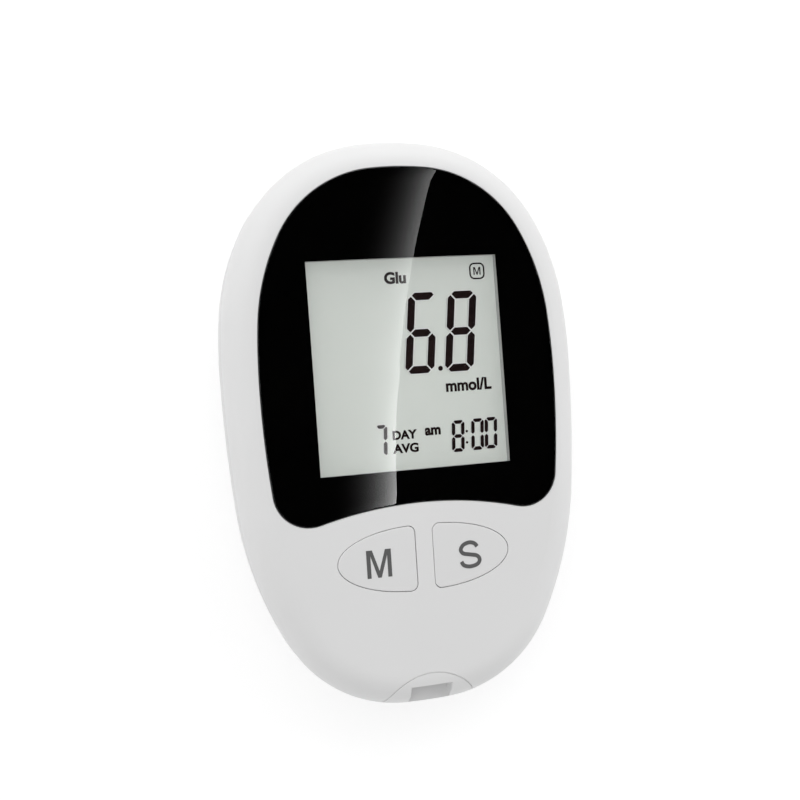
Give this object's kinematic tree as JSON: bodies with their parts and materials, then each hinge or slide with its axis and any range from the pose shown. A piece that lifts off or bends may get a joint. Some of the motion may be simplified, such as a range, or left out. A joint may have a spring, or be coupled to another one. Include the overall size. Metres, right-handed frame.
{
  "type": "blood glucose meter",
  "caption": "Egg-shaped handheld glucose meter with a black-framed display window, half-oval keys, a test strip port and a hinged battery door on its back.",
  "frame": {"origin": "centre of the flat back, on the plane the meter rests on", "axes": "+X to the right of the display, +Y towards the display end, away from the strip port, +Z out of the display"},
  "size_m": [0.0612, 0.096, 0.021],
  "materials": {
    "shell_white": "satin white moulded plastic",
    "key_white": "satin white moulded plastic",
    "window_clear": "polished clear acrylic",
    "mask_black": "black print",
    "display_glass": "grey-green liquid crystal display",
    "reflector_film": "matt",
    "zebra_rubber": "matt silicone rubber",
    "holder_white": "matt",
    "gasket_foam": "dense foam",
    "board_green": "solder mask",
    "chip_black": "matt moulded",
    "crystal_steel": "satin",
    "buzzer_black": "matt",
    "connector_black": "matt",
    "contact_gold": "gold plated",
    "switch_steel": "satin",
    "plunger_black": "matt",
    "cell_jacket": "satin jacket",
    "spring_steel": "nickel plated",
    "screw_steel": "zinc plated"
  },
  "bodies": {
    "root": {"analogue_chip": "chip_black", "battery_bridge": "spring_steel", "battery_left": "cell_jacket", "battery_right": "cell_jacket", "battery_springs": "spring_steel", "battery_terminals": "spring_steel", "board_screws": "screw_steel", "buzzer": "buzzer_black", "case_screws": "screw_steel", "chip_parts": "chip_black", "crystal": "crystal_steel", "front_shell": "shell_white", "lcd_holder": "holder_white", "lcd_panel": "display_glass", "lcd_reflector": "reflector_film", "lens_mask": "mask_black", "main_pcb": "board_green", "memory_chip": "chip_black", "memory_switch": "switch_steel", "microcontroller": "chip_black", "rear_shell": "shell_white", "set_switch": "switch_steel", "strip_connector": "connector_black", "strip_contacts": "contact_gold", "strip_port_insert": "shell_white", "window_gasket": "gasket_foam", "window_lens": "window_clear", "zebra_strips": "zebra_rubber"},
    "memory_button": {"memory_button": "key_white", "memory_switch_plunger": "plunger_black"},
    "set_button": {"set_button": "key_white", "set_switch_plunger": "plunger_black"},
    "battery_door": {"battery_door": "shell_white"}
  },
  "joints": [
    {"name": "memory_press", "type": "slide", "parent": "root", "child": "memory_button", "axis": [0, 0, -1], "range_m": [0, 0.0004], "stiffness_N_per_m": 3300},
    {"name": "set_press", "type": "slide", "parent": "root", "child": "set_button", "axis": [0, 0, -1], "range_m": [0, 0.0004], "stiffness_N_per_m": 3300},
    {"name": "battery_door_swing", "type": "hinge", "parent": "root", "child": "battery_door", "pos_m": [0, -0.02385, 0.0009], "axis": [-1, 0, 0], "range_deg": [0, 95]}
  ]
}
